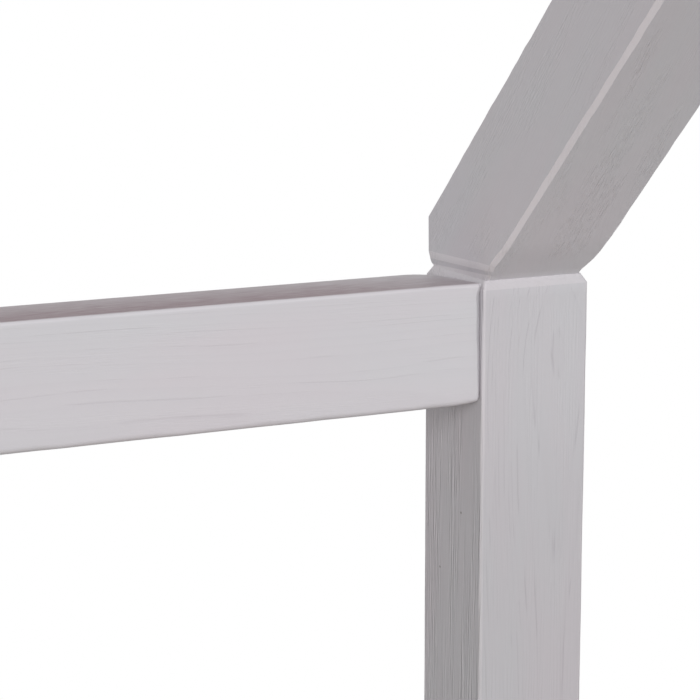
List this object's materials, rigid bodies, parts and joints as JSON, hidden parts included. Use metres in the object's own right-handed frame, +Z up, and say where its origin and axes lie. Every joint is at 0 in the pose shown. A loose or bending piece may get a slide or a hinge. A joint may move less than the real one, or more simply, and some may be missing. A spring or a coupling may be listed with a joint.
{
  "type": "house frame bed",
  "caption": "Low slatted children's bed in square timber, with corner posts, eave rails, gable rafters and a ridge beam that draw the outline of a house.",
  "frame": {"origin": "on the floor under the middle of the bed", "axes": "+X along the mattress, +Y to the back long side, +Z up"},
  "size_m": [2.16, 1.06, 1.6916],
  "materials": {
    "white_glazed_pine": "planed and sanded pine under a translucent white glaze, satin",
    "bare_pine": "planed pine, untreated",
    "beech_dowel": "fluteless beech dowel, untreated",
    "zinc_plated_steel": "bright zinc plate",
    "webbing": "woven polyester tape",
    "glide_plastic": "moulded, fine matt texture"
  },
  "bodies": {
    "root": {"post_back_right": "white_glazed_pine", "post_front_right": "white_glazed_pine", "post_back_left": "white_glazed_pine", "post_front_left": "white_glazed_pine", "rafter_back_right": "white_glazed_pine", "rafter_front_right": "white_glazed_pine", "rafter_back_left": "white_glazed_pine", "rafter_front_left": "white_glazed_pine", "ridge_beam": "white_glazed_pine", "eave_rail_back": "white_glazed_pine", "eave_rail_front": "white_glazed_pine", "side_rail_back": "white_glazed_pine", "side_rail_front": "white_glazed_pine", "end_rail_right": "white_glazed_pine", "end_rail_left": "white_glazed_pine", "ledger_back": "white_glazed_pine", "ledger_front": "white_glazed_pine", "slat_01": "bare_pine", "slat_02": "bare_pine", "slat_03": "bare_pine", "slat_04": "bare_pine", "slat_05": "bare_pine", "slat_06": "bare_pine", "slat_07": "bare_pine", "slat_08": "bare_pine", "slat_09": "bare_pine", "slat_10": "bare_pine", "slat_11": "bare_pine", "slat_12": "bare_pine", "slat_13": "bare_pine", "slat_14": "bare_pine", "slat_15": "bare_pine", "slat_16": "bare_pine", "slat_strap_back": "webbing", "slat_strap_front": "webbing", "rail_bolts": "zinc_plated_steel", "rail_barrel_nuts": "zinc_plated_steel", "rafter_foot_bolts": "zinc_plated_steel", "rafter_foot_nuts": "zinc_plated_steel", "ridge_bolts": "zinc_plated_steel", "ridge_barrel_nuts": "zinc_plated_steel", "ledger_screws": "zinc_plated_steel", "slat_screws": "zinc_plated_steel", "strap_staples": "zinc_plated_steel", "rail_dowels": "beech_dowel", "rafter_foot_dowels": "beech_dowel", "apex_dowels": "beech_dowel", "post_glides": "glide_plastic"}
  },
  "joints": []
}
